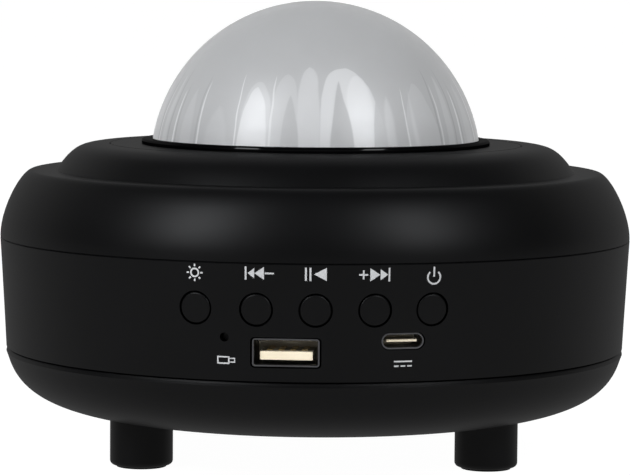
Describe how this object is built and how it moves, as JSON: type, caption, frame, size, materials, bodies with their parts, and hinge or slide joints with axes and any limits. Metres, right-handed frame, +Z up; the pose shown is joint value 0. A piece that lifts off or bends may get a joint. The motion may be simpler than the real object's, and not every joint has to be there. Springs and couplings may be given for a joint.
{
  "type": "northern lights projector",
  "caption": "Round black projector with a clear fluted dome over a motor-driven rippled wheel, a row of push buttons, a memory-stick socket, a power inlet and a speaker that faces down.",
  "frame": {"origin": "on the table under the middle of the round body", "axes": "-Y is the front with the buttons, +X is to the right as seen from the front, +Z is up"},
  "size_m": [0.1398, 0.1398, 0.101],
  "materials": {
    "black_satin": "satin",
    "black_gloss": "gloss",
    "black_caps": "satin",
    "clear_dome": "clear, polished",
    "black_rubber": "matte",
    "white_plastic": "moulded",
    "clear_wheel": "clear, polished",
    "bare_aluminium": "satin",
    "white_board": "lacquered",
    "emitter": "gloss",
    "green_board": "lacquered",
    "black_parts": "matte",
    "steel": "plain",
    "socket_shell": "bright plated",
    "cream_plastic": "moulded",
    "gilt_contacts": "bright",
    "ferrite": "matte",
    "cone_paper": "pressed",
    "spider_cloth": "stiffened",
    "lead_sleeve": "smooth"
  },
  "bodies": {
    "base": {"base_bowl": "black_satin", "board_capacitors": "bare_aluminium", "board_chips": "black_parts", "board_screws": "steel", "casing_screws": "steel", "control_band": "black_satin", "deck_screws": "steel", "dome": "clear_dome", "dome_bezel": "black_gloss", "dome_gasket": "black_rubber", "foot_left": "black_satin", "foot_pads": "black_rubber", "foot_rear": "black_satin", "foot_right": "black_satin", "heat_sink": "bare_aluminium", "lead_sockets": "white_plastic", "led_board": "white_board", "led_emitters": "emitter", "led_lead": "lead_sleeve", "led_plug": "white_plastic", "led_screws": "steel", "main_board": "green_board", "microphone": "black_parts", "motor_bracket": "steel", "motor_can": "steel", "motor_gearbox": "white_plastic", "motor_lead": "lead_sleeve", "motor_screws": "steel", "optics_deck": "white_plastic", "speaker_frame": "steel", "speaker_gasket": "black_rubber", "speaker_lead": "lead_sleeve", "speaker_magnet": "ferrite", "speaker_screws": "steel", "speaker_spider": "spider_cloth", "speaker_surround": "black_rubber", "spindle_clip": "steel", "tact_switches": "black_parts", "top_casing": "black_satin", "usb_a_contacts": "gilt_contacts", "usb_a_shell": "socket_shell", "usb_a_tongue": "cream_plastic", "usb_c_shell": "socket_shell", "usb_c_tongue": "cream_plastic", "wheel_spindle": "steel"},
    "light_key": {"light_button": "black_caps", "light_plunger": "white_plastic"},
    "previous_key": {"previous_button": "black_caps", "previous_plunger": "white_plastic"},
    "play_key": {"play_button": "black_caps", "play_plunger": "white_plastic"},
    "next_key": {"next_button": "black_caps", "next_plunger": "white_plastic"},
    "power_key": {"power_button": "black_caps", "power_plunger": "white_plastic"},
    "wheel": {"wave_wheel": "clear_wheel"},
    "pinion": {"drive_pinion": "white_plastic", "motor_shaft": "steel"},
    "cone": {"speaker_cone": "cone_paper"}
  },
  "joints": [
    {"name": "light_press", "type": "slide", "parent": "base", "child": "light_key", "axis": [0.3518, 0.9361, 0], "range_m": [0, 0.0005], "stiffness_N_per_m": 1500},
    {"name": "previous_press", "type": "slide", "parent": "base", "child": "previous_key", "axis": [0.1736, 0.9848, 0], "range_m": [0, 0.0005], "stiffness_N_per_m": 1500},
    {"name": "play_press", "type": "slide", "parent": "base", "child": "play_key", "axis": [0, 1, 0], "range_m": [0, 0.0005], "stiffness_N_per_m": 1500},
    {"name": "next_press", "type": "slide", "parent": "base", "child": "next_key", "axis": [-0.1736, 0.9848, 0], "range_m": [0, 0.0005], "stiffness_N_per_m": 1500},
    {"name": "power_press", "type": "slide", "parent": "base", "child": "power_key", "axis": [-0.342, 0.9397, 0], "range_m": [0, 0.0005], "stiffness_N_per_m": 1500},
    {"name": "wheel_spin", "type": "hinge", "parent": "base", "child": "wheel", "pos_m": [0, 0, 0.0576], "axis": [0, 0, 1], "continuous": true},
    {"name": "pinion_spin", "type": "hinge", "parent": "base", "child": "pinion", "pos_m": [0.0195, 0.03377, 0.0581], "axis": [0, 0, 1], "continuous": true},
    {"name": "cone_stroke", "type": "slide", "parent": "base", "child": "cone", "axis": [0, 0, 1], "range_m": [-0.001, 0.001], "stiffness_N_per_m": 1500, "deforming": ["speaker_surround", "speaker_spider"]}
  ],
  "couplings": [
    {"joint": "pinion_spin", "follows": "wheel_spin", "ratio": -3.3333}
  ]
}
